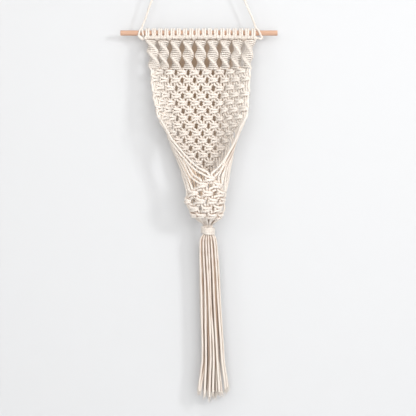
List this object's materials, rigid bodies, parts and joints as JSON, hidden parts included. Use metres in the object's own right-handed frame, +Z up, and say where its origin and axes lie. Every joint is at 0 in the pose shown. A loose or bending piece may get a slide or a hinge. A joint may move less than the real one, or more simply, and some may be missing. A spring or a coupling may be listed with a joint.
{
  "type": "macrame wall hanging pocket with wooden dowel",
  "caption": "Knotted cotton cord pocket hung from a wooden dowel, with spiral knot columns, open net, a gathered neck and a long tassel.",
  "frame": {"origin": "where the hanging cord rests on its nail or hook", "axes": "+Z up; +X along the dowel, to the right of someone who faces the wall; +Y back towards the wall"},
  "size_m": [0.3, 0.0843, 0.9813],
  "materials": {
    "wood": "plain sanded",
    "hanging_cotton": "soft twisted cotton cord",
    "pocket_cotton": "soft twisted cotton cord, knotted",
    "wrap_cotton": "soft twisted cotton cord, wrapped",
    "tassel_cotton": "soft twisted cotton cord, cut ends"
  },
  "bodies": {
    "root": {"dowel": "wood", "hanging_cord": "hanging_cotton", "macrame_pocket": "pocket_cotton", "gathering_wrap": "wrap_cotton", "tassel": "tassel_cotton"}
  },
  "joints": []
}
